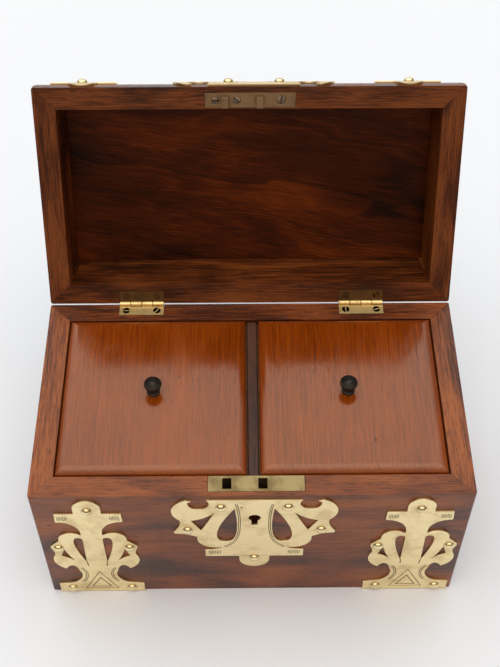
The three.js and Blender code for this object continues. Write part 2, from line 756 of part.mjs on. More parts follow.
function centreMountHoles() {
  const teardrop = new THREE.Path();
  teardrop.moveTo(10.4, 8.3);
  teardrop.bezierCurveTo(8.6, 22, 8, 43.3, 15, 43.3);
  teardrop.bezierCurveTo(24.3, 43.3, 20, 25, 10.4, 8.3);
  const triangle = new THREE.Path();
  triangle.moveTo(21, 12.3);
  triangle.quadraticCurveTo(26, 19, 33.7, 20.5);
  triangle.lineTo(28.5, 30.8);
  triangle.quadraticCurveTo(24.5, 22, 21, 12.3);
  return [teardrop, triangle];
}

function sideMountHalf() {
  const path = new THREE.Path();
  path.absellipse(0, 7, 7.3, 7, rad(-90), 0, false);
  path.lineTo(7.3, 12.9);
  path.lineTo(17.5, 12.9);
  path.lineTo(17.8, 20.7);
  path.absarc(17.3, 32.6, 11.5, rad(-90), rad(-180), true);
  path.lineTo(5.8, 35.4);
  path.quadraticCurveTo(8, 33.3, 11.3, 33.3);
  path.bezierCurveTo(16.5, 33.3, 18.6, 36.5, 18.4, 41.5);
  path.lineTo(23.4, 47.5);
  path.lineTo(23.6, 49.2);
  path.quadraticCurveTo(21.4, 55, 22.4, 57.4);
  path.bezierCurveTo(25, 62, 24, 69.5, 17.8, 73.4);
  path.bezierCurveTo(15.6, 67.6, 11.6, 68.6, 10.84, 75.9);
  path.absarc(20.9, 80.6, 11.1, rad(205), rad(90), true);
  path.lineTo(24.2, 92.3);
  path.lineTo(24.2, 101.5);
  path.lineTo(0, 101.5);
  return path;
}

function sideMountHoles() {
  const teardrop = new THREE.Path();
  teardrop.moveTo(5.7, 65.4);
  teardrop.lineTo(5.4, 41);
  teardrop.quadraticCurveTo(5.4, 38.2, 8, 38.2);
  teardrop.bezierCurveTo(13, 38.2, 9.5, 54, 5.7, 65.4);
  const triangle = new THREE.Path();
  triangle.moveTo(16.4, 50.9);
  triangle.quadraticCurveTo(18.2, 55.4, 18.8, 58.8);
  triangle.quadraticCurveTo(14.6, 60, 11.8, 64.4);
  triangle.quadraticCurveTo(14.9, 58, 16.4, 50.9);
  return [teardrop, triangle];
}

const LOW_CENTRE_STUDS = [[35.5, 30.6], [-35.5, 30.6], [0, 61.9]];
const CENTRE_STUDS = [[17.5, 7], [-17.5, 7], ...LOW_CENTRE_STUDS];
const LID_CENTRE_STUDS = [[13.6, 7], [-13.6, 7], ...LOW_CENTRE_STUDS];
const SIDE_STUDS = [[0, 10], [19.4, 49.3], [-19.4, 49.3], [17, 97], [-17, 97]];
const BODY_CURVE_STEPS = 3;
const LID_CURVE_STEPS = 2;
const BENDS = 8;
const BEND_LENGTH = 11;

// Joins a half outline to its mirror image, and pierces it with the holes and their mirror images.
function mountShape(half, holes, curveSteps) {
  const right = half.getPoints(curveSteps);
  const left = right.map((p) => new THREE.Vector2(-p.x, p.y)).reverse();
  const inner = left.filter((p) => p.x < -1e-6);
  const shape = new THREE.Shape([...right, ...inner]);
  for (const hole of holes) {
    const points = hole.getPoints(curveSteps * 2);
    shape.holes.push(new THREE.Path(points));
    shape.holes.push(new THREE.Path(points.map((p) => new THREE.Vector2(-p.x, p.y))));
  }
  return shape;
}

// Splits every triangle that crosses one of the levels of v, so the sheet can be bent there.
function sliceAcross(geometry, levels) {
  let triangles = [];
  const positions = geometry.getAttribute('position');
  const point = (i) => new THREE.Vector3().fromBufferAttribute(positions, i);
  for (let i = 0; i < positions.count; i += 3) {
    triangles.push([point(i), point(i + 1), point(i + 2)]);
  }
  for (const level of levels) {
    triangles = triangles.flatMap((triangle) => splitTriangle(triangle, level));
  }
  const sliced = new THREE.BufferGeometry();
  return sliced.setFromPoints(triangles.flat());
}

function splitTriangle(triangle, level) {
  const near = 1e-3;
  const side = triangle.map((p) => (Math.abs(p.y - level) < near ? 0 : Math.sign(p.y - level)));
  if (!side.includes(1) || !side.includes(-1)) {
    return [triangle];
  }
  const crossing = (p, q) => {
    const [low, high] = p.y < q.y ? [p, q] : [q, p];
    return low.clone().lerp(high, (level - low.y) / (high.y - low.y));
  };
  const lone = side.findIndex((s) => s !== 0 && side.filter((t) => t === s).length === 1
    && (side.includes(0) || side.filter((t) => t === -s).length === 2));
  const a = triangle[lone];
  const b = triangle[(lone + 1) % 3];
  const c = triangle[(lone + 2) % 3];
  const sideB = side[(lone + 1) % 3];
  const sideC = side[(lone + 2) % 3];
  if (sideB === 0) {
    const ac = crossing(a, c);
    return [[a, b, ac], [b, c, ac]];
  }
  if (sideC === 0) {
    const ab = crossing(a, b);
    return [[a, ab, c], [ab, b, c]];
  }
  const ab = crossing(a, b);
  const ac = crossing(a, c);
  return [[a, ab, ac], [ab, b, c], [ab, c, ac]];
}

// Places a point of a mount on the flat front of the body: w stands out from the wood.
function onBodyFront(centreX, top) {
  return (p) => new THREE.Vector3(centreX - p.x, -HALF_D - p.z, BODY_HEIGHT - top - p.y);
}

// Places a point of a mount on the lid's front band and on round the barrel.
function onBarrel(centreX, scaleV) {
  const lift = 0.3;
  return (p) => {
    const s = LID_MOUNT_EDGE + p.y * scaleV;
    const out = lift + p.z;
    if (s <= BAND) {
      return new THREE.Vector3(centreX + p.x, -HALF_D - out, RIM + s);
    }
    const angle = BARREL_START + (s - BAND) / BARREL;
    const y = -(BARREL + out) * Math.cos(angle);
    return new THREE.Vector3(centreX + p.x, y, BARREL_Z + (BARREL + out) * Math.sin(angle));
  };
}

function mapPoints(geometry, place) {
  const positions = geometry.getAttribute('position');
  for (let i = 0; i < positions.count; i += 1) {
    const moved = place(new THREE.Vector3().fromBufferAttribute(positions, i));
    positions.setXYZ(i, moved.x, moved.y, moved.z);
  }
  return geometry;
}

// A domed stud on the plate at u, v, sunk a little into it.
function stud([u, v]) {
  const profile = [[0, PLATE / 2], [STUD_RADIUS, PLATE / 2]];
  const steps = 2;
  for (let i = 0; i <= steps; i += 1) {
    const angle = (Math.PI / 2) * (i / steps);
    profile.push([STUD_RADIUS * Math.cos(angle), PLATE + STUD_HEIGHT * Math.sin(angle)]);
  }
  return turned(profile, 8).translate(u, v, 0);
}

function mount(shape, studs, place, levels) {
  const flat = extrude(shape, PLATE);
  const plate = solid(mapPoints(sliceAcross(flat, levels), place));
  return join(plate, ...studs.map((at) => solid(mapPoints(stud(at), place))));
}

function mounts() {
  const [centre, lidCentre] = [BODY_CURVE_STEPS, LID_CURVE_STEPS].map((steps) => {
    return mountShape(centreMountHalf(), centreMountHoles(), steps);
  });
  const [side, lidSide] = [BODY_CURVE_STEPS, LID_CURVE_STEPS].map((steps) => {
    return mountShape(sideMountHalf(), sideMountHoles(), steps);
  });
  const keyhole = prismY(keyholeOutline(CENTRE_MOUNT_X, KEYHOLE_Z), -HALF_D - BEYOND, -HALF_D + 1);
  const bodyCentre = mount(centre, CENTRE_STUDS, onBodyFront(CENTRE_MOUNT_X, BODY_MOUNT_TOP), []);
  addBody('body_centre_mount', cut(bodyCentre, keyhole), polishedBrass);
  const bend = (scale) => Array.from({ length: BENDS }, (_, i) => {
    return (BAND - LID_MOUNT_EDGE + i * BEND_LENGTH) / scale;
  });
  const centreOnLid = mount(lidCentre, LID_CENTRE_STUDS, onBarrel(LID_CENTRE_MOUNT_X, 1), bend(1));
  addLid('lid_centre_mount', centreOnLid, polishedBrass);
  const bends = bend(LID_SIDE_MOUNT_SCALE);
  ['left', 'right'].forEach((name, i) => {
    const onBody = mount(side, SIDE_STUDS, onBodyFront(SIDE_MOUNT_X[i], BODY_MOUNT_TOP), []);
    addBody(`body_${name}_mount`, onBody, polishedBrass);
    const place = onBarrel(LID_SIDE_MOUNT_X[i], LID_SIDE_MOUNT_SCALE);
    addLid(`lid_${name}_mount`, mount(lidSide, SIDE_STUDS, place, bends), polishedBrass);
  });
}

frontWall();
backWall();
sideWalls();
baseAndDivider();
compartment('left', -INNER_X, DIVIDER_X - DIVIDER / 2, KNOB_X[0]);
compartment('right', DIVIDER_X + DIVIDER / 2, INNER_X, KNOB_X[1]);
lidCase();
hinges();
lock();
linkPlate();
mounts();

export default caddy;
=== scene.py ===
"""A dome-top tea caddy with its lid open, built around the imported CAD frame. Metres, +Z up."""

import json
import math

import bmesh
import bpy
from mathutils import Matrix, Vector


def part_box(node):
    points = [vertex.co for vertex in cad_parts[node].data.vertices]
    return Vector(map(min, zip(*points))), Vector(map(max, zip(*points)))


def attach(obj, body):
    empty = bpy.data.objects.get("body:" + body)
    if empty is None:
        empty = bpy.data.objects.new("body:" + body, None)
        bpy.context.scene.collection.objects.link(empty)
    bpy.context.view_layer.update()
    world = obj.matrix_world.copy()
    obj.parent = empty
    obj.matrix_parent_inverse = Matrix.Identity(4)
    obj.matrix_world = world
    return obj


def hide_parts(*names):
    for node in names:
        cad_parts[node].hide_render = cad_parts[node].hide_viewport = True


MM = 0.001

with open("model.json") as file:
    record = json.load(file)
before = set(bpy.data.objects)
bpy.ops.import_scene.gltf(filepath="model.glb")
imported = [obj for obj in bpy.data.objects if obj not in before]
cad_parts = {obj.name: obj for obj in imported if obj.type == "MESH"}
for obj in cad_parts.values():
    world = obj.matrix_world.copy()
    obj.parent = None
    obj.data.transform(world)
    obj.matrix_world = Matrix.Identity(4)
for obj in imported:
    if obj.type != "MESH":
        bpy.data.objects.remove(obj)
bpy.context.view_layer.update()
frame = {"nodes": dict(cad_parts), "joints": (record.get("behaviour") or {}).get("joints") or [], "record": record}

# ---------- where things are, read from the frame ----------

NODES = frame["nodes"]
BODY_OF = {node: body for body, nodes in frame["record"]["behaviour"]["bodies"].items() for node in nodes}
LID_JOINT = next(j for j in frame["joints"] if j["name"] == "lid_hinge")
HINGE_LINE = Vector(LID_JOINT["pos_m"])
OPEN_ANGLE = math.radians(LID_JOINT["range_deg"][1])

# Takes a point of the shut lid to where it is with the lid open, which is the rest pose.
TO_OPEN = (
    Matrix.Translation(HINGE_LINE)
    @ Matrix.Rotation(-OPEN_ANGLE, 4, "X")
    @ Matrix.Translation(-HINGE_LINE)
)
SAME = Matrix.Identity(4)


def on_lid(node):
    return BODY_OF[node] == "lid"


def placing(node):
    """The matrix that brings shapes drawn with the lid shut to where the node is."""
    return TO_OPEN if on_lid(node) else SAME


def shut_box(node):
    """Lowest and highest corner of a node with the lid shut."""
    back = placing(node).inverted()
    corners = [back @ v.co for v in NODES[node].data.vertices]
    low = Vector([min(c[i] for c in corners) for i in range(3)])
    high = Vector([max(c[i] for c in corners) for i in range(3)])
    return low, high


def middle_x(node):
    low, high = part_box(node)
    return (low.x + high.x) / 2


HALF_D = -shut_box("front_wall")[0].y
BODY_HEIGHT = shut_box("front_wall")[1].z
LID_RIM = shut_box("lid_front_rail")[0].z
LID_TOP = shut_box("lid_crown")[1].z
BAND = 4 * MM
BARREL_DROP = 7.2 * MM
BARREL_Z = LID_RIM - BARREL_DROP
BARREL = LID_TOP - BARREL_Z
BARREL_START = math.asin((BAND + BARREL_DROP) / BARREL)

# ---------- meshes ----------

WELD = 1e-3 * MM
FLAT_WITHIN = math.radians(0.5)
SHARP_FROM = math.radians(35)
MITRE_NORMAL = 0.6


def put(name, mesh, node, material, stands_for=True):
    """Adds a piece that rides with a CAD node's body, and replaces that node if it stands for it."""
    obj = bpy.data.objects.new(name, mesh)
    bpy.context.scene.collection.objects.link(obj)
    if material is not None:
        mesh.materials.clear()
        mesh.materials.append(material)
    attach(obj, BODY_OF[node])
    if stands_for:
        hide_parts(node)
    return obj


def mesh_from(bm, name, matrix=SAME):
    bm.transform(matrix)
    bmesh.ops.recalc_face_normals(bm, faces=bm.faces)
    mesh = bpy.data.meshes.new(name)
    bm.to_mesh(mesh)
    bm.free()
    return mesh


def smooth(mesh, degrees=30):
    mesh.polygons.foreach_set("use_smooth", [True] * len(mesh.polygons))
    mesh.set_sharp_from_angle(angle=math.radians(degrees))
    return mesh


def node_bmesh(node):
    """The node's solid with its flat faces whole again."""
    source = NODES[node].data
    bare = bpy.data.meshes.new(f"{node}_bare")
    bare.from_pydata([v.co for v in source.vertices], [], [p.vertices[:] for p in source.polygons])
    bm = bmesh.new()
    bm.from_mesh(bare)
    bpy.data.meshes.remove(bare)
    bmesh.ops.remove_doubles(bm, verts=bm.verts, dist=WELD)
    bmesh.ops.dissolve_limit(bm, angle_limit=FLAT_WITHIN, verts=bm.verts, edges=bm.edges)
    return bm


def arris_weights(bm, back, mitre_weight):
    """Marks the sharp edges for bevelling, and those at a mitre for a finer bevel."""
    layer = bm.edges.layers.float.new("bevel_weight_edge")
    bm.normal_update()
    for edge in bm.edges:
        if len(edge.link_faces) != 2 or edge.calc_face_angle(0) < SHARP_FROM:
            continue
        normals = [back.to_3x3() @ face.normal for face in edge.link_faces]
        mitred = any(min(abs(n.x), abs(n.y)) > MITRE_NORMAL for n in normals)
        edge[layer] = mitre_weight if mitred else 1.0


def eased(node, name, material, arris, mitre_weight=1.0, segments=2):
    """A CAD node's shape with its sharp edges eased by arris metres."""
    bm = node_bmesh(node)
    arris_weights(bm, placing(node).inverted(), mitre_weight)
    mesh = mesh_from(bm, name)
    obj = put(name, mesh, node, material)
    bevel = obj.modifiers.new("arris", "BEVEL")
    bevel.limit_method = "WEIGHT"
    bevel.width = arris
    bevel.segments = segments
    bevel.use_clamp_overlap = True
    bevel.harden_normals = True
    smooth(mesh, 24)
    return obj


def lathe(profile, steps=48):
    """A closed turned shape round Z; the profile is (radius, height), bottom to top, in metres."""
    bm = bmesh.new()
    rings = []
    for radius, height in profile:
        if radius == 0:
            rings.append([bm.verts.new((0, 0, height))])
            continue
        turn = [2 * math.pi * i / steps for i in range(steps)]
        rings.append([bm.verts.new((radius * math.cos(a), radius * math.sin(a), height)) for a in turn])
    for low, high in zip(rings, rings[1:]):
        for i in range(steps):
            j = (i + 1) % steps
            corners = [low[i % len(low)], low[j % len(low)], high[j % len(high)], high[i % len(high)]]
            face = list(dict.fromkeys(corners))
            if len(face) > 2:
                bm.faces.new(face)
    return bm


def prism(outline, low, high):
    """A flat outline raised from low to high."""
    bm = bmesh.new()
    bottom = [bm.verts.new((x, y, low)) for x, y in outline]
    top = [bm.verts.new((x, y, high)) for x, y in outline]
    bm.faces.new(bottom[::-1])
    bm.faces.new(top)
    for i in range(len(outline)):
        j = (i + 1) % len(outline)
        bm.faces.new((bottom[i], bottom[j], top[j], top[i]))
    return bm


def carve(base, cutters, dark=None):
    """The base mesh with each cutter taken out; cut faces take the dark material if it is given."""
    holder = bpy.data.objects.new("carved", base)
    bpy.context.scene.collection.objects.link(holder)
    tools = []
    for mesh in cutters:
        tool = bpy.data.objects.new("cutter", mesh)
        bpy.context.scene.collection.objects.link(tool)
        if dark is not None:
            mesh.materials.append(dark)
        step = holder.modifiers.new("cut", "BOOLEAN")
        step.object = tool
        step.operation = "DIFFERENCE"
        step.solver = "MANIFOLD"
        if dark is not None:
            step.material_mode = "TRANSFER"
        tools.append(tool)
    bpy.context.view_layer.update()
    result = bpy.data.meshes.new_from_object(holder.evaluated_get(bpy.context.evaluated_depsgraph_get()))
    for obj in [holder, *tools]:
        mesh = obj.data
        bpy.data.objects.remove(obj)
        bpy.data.meshes.remove(mesh)
    return result


# ---------- materials ----------


class Shader:
    """A short way to write a material's nodes."""

    def __init__(self, name):
        self.material = bpy.data.materials.new(name)
        self.material.use_nodes = True
        self.tree = self.material.node_tree
        self.tree.nodes.clear()
        self.surface = self.tree.nodes.new("ShaderNodeBsdfPrincipled")
        output = self.tree.nodes.new("ShaderNodeOutputMaterial")
        self.tree.links.new(self.surface.outputs[0], output.inputs["Surface"])

    def node(self, kind, inputs=None, **settings):
        made = self.tree.nodes.new("ShaderNode" + kind)
        for key, value in settings.items():
            setattr(made, key, value)
        for key, value in (inputs or {}).items():
            self.feed(made.inputs[key], value)
        return made

    def feed(self, socket, value):
        if isinstance(value, bpy.types.NodeSocket):
            self.tree.links.new(value, socket)
        else:
            socket.default_value = value

    def place(self, rotation=(0, 0, 0), shift=(0, 0, 0)):
        """Object coordinates in millimetres."""
        coordinates = self.node("TexCoord").outputs["Object"]
        per_mm = 1 / MM
        return self.node("Mapping", {
            "Vector": coordinates, "Scale": (per_mm,) * 3, "Rotation": rotation, "Location": shift,
        }).outputs[0]

    def stretch(self, vector, factors):
        return self.node("VectorMath", {0: vector, 1: factors}, operation="MULTIPLY").outputs[0]

    def noise(self, vector, factors=(1, 1, 1), detail=2.0, roughness=0.5, distortion=0.0):
        return self.node("TexNoise", {
            "Vector": self.stretch(vector, factors), "Scale": 1.0, "Detail": detail,
            "Roughness": roughness, "Distortion": distortion,
        }).outputs["Fac"]

    def noise_along(self, value, detail=2.0, roughness=0.5):
        return self.node("TexNoise", {
            "W": value, "Scale": 1.0, "Detail": detail, "Roughness": roughness,
        }, noise_dimensions="1D").outputs["Fac"]

    def math(self, operation, a, b=0.0, clamp=False):
        return self.node("Math", {0: a, 1: b}, operation=operation, use_clamp=clamp).outputs[0]

    def between(self, value, low, high, to_low=0.0, to_high=1.0):
        return self.node("MapRange", {
            "Value": value, "From Min": low, "From Max": high, "To Min": to_low, "To Max": to_high,
        }, interpolation_type="SMOOTHSTEP").outputs["Result"]

    def mix(self, factor, a, b, blend="MIX"):
        made = self.node("Mix", {0: factor, 6: a, 7: b}, data_type="RGBA", blend_type=blend)
        return made.outputs[2]

    def ramp(self, value, stops):
        made = self.node("ValToRGB", {"Fac": value})
        elements = made.color_ramp.elements
        while len(elements) < len(stops):
            elements.new(0.5)
        for element, (position, colour) in zip(elements, stops):
            element.position = position
            element.color = (*colour, 1)
        return made.outputs["Color"]

    def bump(self, height, depth, strength=1.0, under=None):
        inputs = {"Height": height, "Distance": depth, "Strength": strength}
        if under is not None:
            inputs["Normal"] = under
        return self.node("Bump", inputs).outputs[0]

    def set(self, **inputs):
        for key, value in inputs.items():
            self.feed(self.surface.inputs[key.replace("_", " ")], value)
        return self.material


# How often each layer of the wood's figure repeats per mm: along the grain, then both ways across it.
WANDER = (0.008, 0.026, 0.026)
FIBRES = (0.05, 1.5, 1.5)
CLOUDS = (0.011, 0.032, 0.032)
PORES = (0.14, 2.4, 2.4)


def wood(name, tones, grain="X", lid=False, shift=(0, 0, 0), band=0.2, warp=16.0, slant=0.0,
         pore=0.75, gloss=0.3, figure=0.5, cloud=1.0, fleck=1.0, spots=(), specular=0.42,
         sheen=(1, 0.9, 0.8)):
    """Polished wood whose grain runs along X or Y of the shut caddy; tones go from dark to light.

    Each spot is a dark mark: x, y and radius in millimetres.
    """
    s = Shader(name)
    tilt = OPEN_ANGLE if lid else 0.0
    quarter = math.radians(90) if grain == "Y" else 0.0
    where = s.place((tilt, 0.0, quarter + slant), shift)
    axes = s.node("SeparateXYZ", {0: where})
    across = s.math("ADD", s.math("MULTIPLY", axes.outputs["Y"], 0.8), axes.outputs["Z"])
    wander = s.noise(where, WANDER, 3.0, 0.5)
    bent = s.math("ADD", across, s.math("MULTIPLY", s.math("SUBTRACT", wander, 0.5), warp * 2))
    bands = s.noise_along(s.math("MULTIPLY", bent, band), 4.0, 0.62)
    fibres = s.noise(where, FIBRES, 4.0, 0.65)
    clouds = s.noise(where, CLOUDS, 3.0, 0.5, 0.6)
    tone = 0.5
    for layer, amount in ((bands, figure), (fibres, 0.75 * fleck), (clouds, cloud)):
        tone = s.math("ADD", tone, s.math("MULTIPLY", s.math("SUBTRACT", layer, 0.5), amount))
    dark, middle, light = tones
    colour = s.ramp(s.math("MAXIMUM", tone, 0.0), [(0.28, dark), (0.5, middle), (0.74, light)])
    pores = s.between(s.noise(where, PORES, 1.0, 0.5), 0.58, 0.7)
    pore_colour = tuple(0.35 * c for c in dark)
    colour = s.mix(s.math("MULTIPLY", pores, pore), colour, (*pore_colour, 1))
    for x, y, radius in spots:
        offset = s.node("VectorMath", {0: s.place(), 1: (x, y, 0)}, operation="SUBTRACT").outputs[0]
        flat = s.stretch(offset, (1, 0.7, 0))
        far = s.node("VectorMath", {0: flat}, operation="LENGTH").outputs["Value"]
        colour = s.mix(s.between(far, radius * 0.4, radius, 0.85, 0.0), colour, (*pore_colour, 1))
    shine = s.math("ADD", s.between(clouds, 0.3, 0.7, gloss - 0.04, gloss + 0.06),
                   s.math("MULTIPLY", pores, 0.12))
    height = s.math("SUBTRACT", s.math("MULTIPLY", fibres, 0.35), pores)
    s.set(Specular_IOR_Level=specular, Specular_Tint=(*sheen, 1))
    return s.set(Base_Color=colour, Roughness=shine, Normal=s.bump(height, 0.05 * MM, 0.5))


def brass(name, bright, tarnish, gloss, dirt, scratch=0.25):
    """Brass with patches of tarnish, painted shade in its corners and fine rubbing marks."""
    s = Shader(name)
    where = s.place()
    patches = s.between(s.noise(where, (0.09, 0.09, 0.09), 4.0, 0.6), 0.42, 0.72)
    specks = s.between(s.noise(where, (0.9, 0.9, 0.9), 3.0, 0.6), 0.6, 0.72)
    # Painted shade: an ambient-occlusion mask darkens the brass in its corners and round studs and knuckles. It is
    # joined with the real tarnish patches and specks into one mask.
    corner_occlusion = s.node("AmbientOcclusion", {"Distance": 1.6 * MM}, samples=6, only_local=False).outputs["AO"]
    corners = s.between(corner_occlusion, 0.35, 0.95, 1.0, 0.0)
    tarnish_and_shade = s.math("MAXIMUM", s.math("MULTIPLY", patches, dirt), s.math("MULTIPLY", corners, 0.75))
    tarnish_and_shade = s.math("ADD", tarnish_and_shade, s.math("MULTIPLY", specks, 0.25 * dirt), clamp=True)
    colour = s.mix(tarnish_and_shade, (*bright, 1), (*tarnish, 1))
    rubbed = s.noise(where, (2.5, 2.5, 0.12), 2.0, 0.6)
    rubbed_across = s.noise(where, (0.12, 2.5, 2.5), 2.0, 0.6)
    marks = s.math("MULTIPLY", s.math("ADD", rubbed, rubbed_across), 0.5)
    shine = s.math("ADD", s.between(marks, 0.3, 0.7, gloss - 0.05, gloss + 0.08),
                   s.math("MULTIPLY", tarnish_and_shade, 0.2))
    normal = s.bump(marks, 0.02 * MM, scratch)
    return s.set(Base_Color=colour, Metallic=1.0, Roughness=shine, Normal=normal)


def tarnish_in_cuts():
    s = Shader("tarnish_in_cuts")
    where = s.place()
    tone = s.noise(where, (1.5, 1.5, 1.5), 3.0, 0.6)
    colour = s.ramp(tone, [(0.3, (0.03, 0.02, 0.01)), (0.7, (0.11, 0.075, 0.03))])
    return s.set(Base_Color=colour, Metallic=0.6, Roughness=0.6)


def steel():
    s = Shader("dark_steel")
    where = s.place()
    rust = s.between(s.noise(where, (0.5, 0.5, 0.5), 4.0, 0.6), 0.5, 0.72)
    colour = s.mix(rust, (0.30, 0.29, 0.27, 1), (0.09, 0.05, 0.03, 1))
    lines = s.noise(where, (0.2, 3.0, 3.0), 2.0, 0.5)
    shine = s.math("ADD", s.math("MULTIPLY", rust, 0.3), 0.35)
    return s.set(Base_Color=colour, Metallic=1.0, Roughness=shine, Normal=s.bump(lines, 0.02 * MM, 0.4))


def ebony():
    s = Shader("ebony")
    where = s.place()
    fibres = s.noise(where, (2.2, 2.2, 0.3), 3.0, 0.6)
    colour = s.ramp(fibres, [(0.35, (0.006, 0.005, 0.0045)), (0.7, (0.022, 0.017, 0.014))])
    shine = s.between(fibres, 0.3, 0.7, 0.28, 0.42)
    s.set(Specular_IOR_Level=0.38, Specular_Tint=(1, 0.88, 0.76, 1))
    return s.set(Base_Color=colour, Roughness=shine, Normal=s.bump(fibres, 0.02 * MM, 0.5))


def baize():
    s = Shader("green_baize")
    where = s.place()
    nap = s.noise(where, (3.0, 3.0, 3.0), 4.0, 0.7)
    wear = s.noise(where, (0.05, 0.05, 0.05), 3.0, 0.6)
    fresh = s.ramp(nap, [(0.3, (0.008, 0.045, 0.024)), (0.7, (0.03, 0.12, 0.068))])
    colour = s.mix(s.between(wear, 0.5, 0.75, 0.0, 0.5), fresh, (0.06, 0.085, 0.05, 1))
    return s.set(Base_Color=colour, Roughness=0.95, Sheen_Weight=0.4, Normal=s.bump(nap, 0.15 * MM, 0.8))


def foil():
    s = Shader("metal_foil")
    where = s.place()
    creases = s.node("TexVoronoi", {
        "Vector": s.stretch(where, (0.16, 0.16, 0.16)), "Scale": 1.0,
    }, feature="DISTANCE_TO_EDGE").outputs["Distance"]
    ridges = s.between(creases, 0.0, 0.12, 1.0, 0.0)
    dents = s.noise(where, (0.35, 0.35, 0.35), 4.0, 0.6)
    colour = s.ramp(dents, [(0.3, (0.20, 0.20, 0.20)), (0.7, (0.38, 0.38, 0.37))])
    height = s.math("ADD", s.math("MULTIPLY", ridges, 0.5), dents)
    return s.set(Base_Color=colour, Metallic=0.85, Roughness=0.45, Normal=s.bump(height, 0.25 * MM, 0.7))


CASE_TONES = ((0.050, 0.011, 0.0030), (0.180, 0.042, 0.008), (0.310, 0.085, 0.016))
RIM_TONES = ((0.034, 0.008, 0.0020), (0.118, 0.027, 0.005), (0.210, 0.056, 0.010))
INSIDE_TONES = ((0.010, 0.002, 0.0004), (0.060, 0.0095, 0.0008), (0.175, 0.032, 0.002))
TEA_TONES = ((0.135, 0.022, 0.0010), (0.222, 0.039, 0.0014), (0.305, 0.060, 0.0025))
DIVIDER_TONES = ((0.016, 0.006, 0.003), (0.050, 0.015, 0.006), (0.095, 0.030, 0.010))
PLAIN_TONES = ((0.16, 0.075, 0.030), (0.28, 0.145, 0.062), (0.40, 0.22, 0.10))

POLISHED = brass("polished_brass", (0.96, 0.80, 0.46), (0.50, 0.34, 0.13), 0.33, 0.45)
STUD_BRASS = brass("stud_brass", (0.90, 0.76, 0.44), (0.30, 0.19, 0.07), 0.16, 0.35)
FACE_BRASS = brass("face_plate_brass", (0.33, 0.245, 0.11), (0.11, 0.075, 0.028), 0.38, 0.6)
DULL = brass("dull_brass", (0.37, 0.25, 0.135), (0.13, 0.08, 0.045), 0.48, 0.55)
HINGE_BRASS = brass("hinge_brass", (0.86, 0.64, 0.27), (0.20, 0.13, 0.05), 0.36, 0.5)
SHADED_BRASS = brass("shaded_hinge_brass", (0.20, 0.12, 0.045), (0.06, 0.036, 0.015), 0.4, 0.6)
SCREW_METAL = brass("screw_metal", (0.36, 0.30, 0.22), (0.08, 0.06, 0.045), 0.28, 0.7)
IN_CUTS = tarnish_in_cuts()
STEEL = steel()
EBONY = ebony()

# ---------- woodwork ----------

ARRIS = 0.35 * MM


def woodwork():
    """Walls, divider and lid boards: the CAD shapes with eased arrises."""
    boards = [
        ("front_wall", "X", CASE_TONES, (3, 40, 11)),
        ("back_wall", "X", CASE_TONES, (120, 7, 63)),
        ("left_wall", "Y", CASE_TONES, (31, 90, 5)),
        ("right_wall", "Y", CASE_TONES, (77, 21, 140)),
        ("lid_front_rail", "X", RIM_TONES, (210, 33, 80)),
        ("lid_back_rail", "X", RIM_TONES, (55, 150, 22)),
        ("lid_left_end", "Y", RIM_TONES, (14, 61, 47)),
        ("lid_right_end", "Y", RIM_TONES, (93, 12, 101)),
        ("lid_crown", "X", CASE_TONES, (160, 80, 35)),
    ]
    for node, grain, tones, shift in boards:
        calm = node == "front_wall"
        material = wood(f"{node}_walnut", tones, grain, on_lid(node), shift, band=0.11 if calm else 0.2,
                        figure=0.4 if calm else 0.5, cloud=1.7 if calm else 1.3, fleck=0.8 if calm else 1.9)
        eased(node, f"{node}_board", material, ARRIS, mitre_weight=0.3)
    dark = wood("divider_walnut", DIVIDER_TONES, "Y", shift=(9, 4, 70), gloss=0.5)
    eased("divider", "divider_board", dark, 2 * ARRIS, segments=3)


def inside_woods():
    """Parts that keep their CAD shape: the lid's ceiling, base, linings and plugs."""
    ceiling = wood("lid_ceiling_walnut", INSIDE_TONES, "X", lid=True, shift=(40, 12, 90), band=0.16,
                   warp=40.0, slant=math.radians(-9), gloss=0.26, pore=0.35, figure=0.45, cloud=0.75,
                   fleck=0.8, specular=0.18)
    plain = wood("plain_timber", PLAIN_TONES, "X", shift=(15, 35, 3), gloss=0.6, band=0.4, figure=0.4)
    lining_foil = foil()
    keep = {
        "lid_ceiling": ceiling, "base_board": plain, "left_lining": plain, "right_lining": plain,
        "left_tea_lid_plug": plain, "right_tea_lid_plug": plain, "base_baize": baize(),
        "left_foil": lining_foil, "right_foil": lining_foil, "lock_case": DULL, "lock_bolt": STEEL,
        "lock_bolt_spring": STEEL, "lock_drill_pin": STEEL, "left_hinge_pin": STEEL, "right_hinge_pin": STEEL,
    }
    for node, material in keep.items():
        mesh = NODES[node].data
        mesh.materials.clear()
        mesh.materials.append(material)


# ---------- tea lids and knobs ----------

LIP = 3.2 * MM
ROUND_OVER = 5 * MM
LAST_SLOPE = math.radians(74)
ROUND_STEPS = 12
SPIGOT_HOLE = 2.15 * MM
HOLE_DEPTH = 5 * MM
KNOB_HEIGHT = 8.7 * MM


